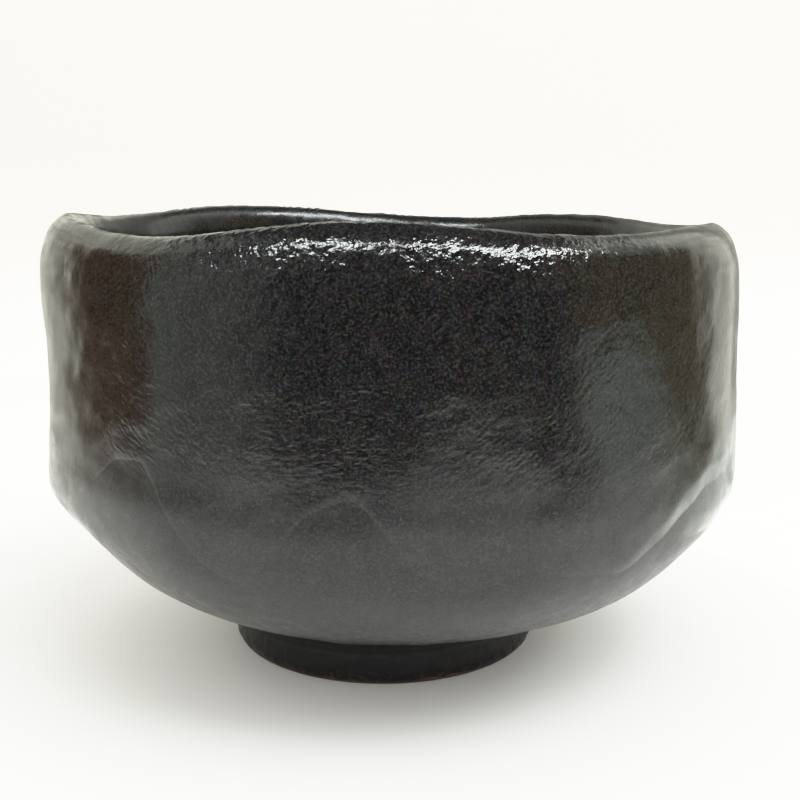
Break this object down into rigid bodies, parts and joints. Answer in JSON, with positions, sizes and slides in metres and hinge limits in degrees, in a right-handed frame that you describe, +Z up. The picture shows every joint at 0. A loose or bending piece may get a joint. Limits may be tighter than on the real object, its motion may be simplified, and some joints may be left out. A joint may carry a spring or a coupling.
{
  "type": "tea bowl",
  "caption": "Hand-built black tea bowl for whisked tea: wavy turned-in lip, pared wall, low hip, small foot ring and a thick curtain of glaze.",
  "frame": {"origin": "centre of the foot ring's resting face, on the table", "axes": "+Z up, out of the mouth; -Y is the front, the side that faces the drinker; +X is to the right seen from the front"},
  "size_m": [0.1196, 0.1185, 0.0772],
  "materials": {
    "clay": "fired clay body, matt, hidden under the glaze",
    "foot_clay": "fired clay, matt and slightly gritty, bare where it stands on the table",
    "base_glaze": "thin black glaze, satin gloss with a fine grain",
    "curtain_glaze": "thick glossy black glaze with a brown cast, wrinkled and pitted like citrus skin",
    "inner_glaze": "smooth glossy black glaze"
  },
  "bodies": {
    "root": {"clay_body": "clay", "foot_ring": "foot_clay", "base_glaze": "base_glaze", "curtain_glaze": "curtain_glaze", "inner_glaze": "inner_glaze", "foot_glaze": "base_glaze", "foot_well_glaze": "base_glaze"}
  },
  "joints": []
}
